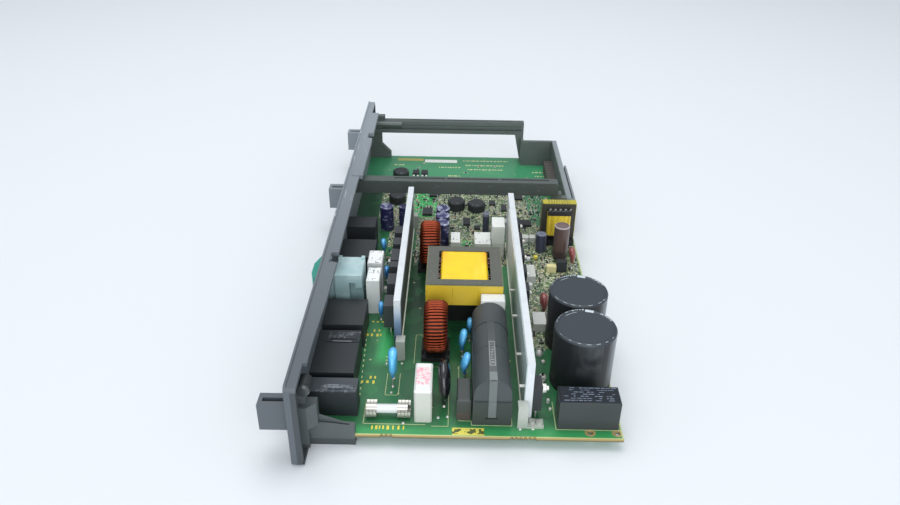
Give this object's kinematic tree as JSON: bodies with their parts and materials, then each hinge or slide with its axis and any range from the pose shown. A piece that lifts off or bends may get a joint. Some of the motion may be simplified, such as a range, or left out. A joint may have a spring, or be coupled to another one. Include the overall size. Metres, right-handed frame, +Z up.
{
  "type": "power supply board",
  "caption": "Open power supply module: long circuit board with heatsink bars, coils, capacitors and a taped transformer, held by a plastic front panel and a guide frame.",
  "frame": {"origin": "middle of the bounding box at its lowest level", "axes": "+X from the front panel to the back edge, +Y along the panel from the fuse end to the open frame end, +Z up from the solder side to the component side"},
  "size_m": [0.192, 0.4034, 0.0525],
  "materials": {
    "board": "satin",
    "panel": "matte",
    "frame": "matte",
    "bracket": "matte",
    "black": "satin",
    "pale_teal": "satin",
    "teal": "satin",
    "white": "satin",
    "bar": "satin",
    "steel": "satin",
    "tin": "bright",
    "copper": "glossy enamel",
    "ferrite": "matte",
    "tape": "glossy tape",
    "bobbin": "matte",
    "blue": "glossy",
    "varistor": "glossy",
    "red": "glossy",
    "can_grey": "satin sleeve",
    "navy": "glossy sleeve",
    "brown": "satin sleeve",
    "fuse_ceramic": "satin",
    "rear_brown": "matte"
  },
  "bodies": {
    "root": {"circuit_board": "board", "front_panel": "panel", "guide_frame": "frame", "corner_bracket": "bracket", "corner_screw": "steel", "near_mains_connector": "black", "middle_mains_connector": "black", "far_mains_connector": "black", "near_signal_connector": "black", "far_signal_connector": "black", "connector_contacts": "tin", "signal_housing": "pale_teal", "signal_plug": "teal", "rear_connector": "rear_brown", "rear_pins": "tin", "noise_capacitors": "white", "left_heatsink": "bar", "right_heatsink": "bar", "heatsink_feet": "steel", "heatsink_screws": "steel", "left_devices": "black", "right_devices": "black", "device_legs": "tin", "transformer_core": "ferrite", "transformer_winding": "tape", "transformer_tape": "tape", "transformer_bobbin": "bobbin", "aux_transformer_core": "ferrite", "aux_transformer_winding": "tape", "aux_transformer_base": "bobbin", "aux_transformer_tape": "tape", "near_choke_core": "ferrite", "near_choke_turns": "copper", "near_choke_base": "bobbin", "far_choke_core": "ferrite", "far_choke_turns": "copper", "far_choke_base": "bobbin", "line_filter_case": "black", "line_filter_cap": "black", "film_capacitor": "white", "line_capacitor": "white", "varistor": "varistor", "small_relay": "black", "disc_capacitors": "blue", "near_bulk_capacitor": "can_grey", "far_bulk_capacitor": "can_grey", "relay": "black", "left_capacitors": "navy", "column_capacitors": "navy", "right_capacitors": "navy", "brown_capacitor": "brown", "fuse_tube": "fuse_ceramic", "fuse_caps": "tin", "fuse_clips": "tin", "flat_inductors": "black", "box_capacitors": "white", "dipped_capacitors": "red", "chip_packages": "black", "yellow_capacitor": "tape", "solder_leads": "tin"}
  },
  "joints": []
}
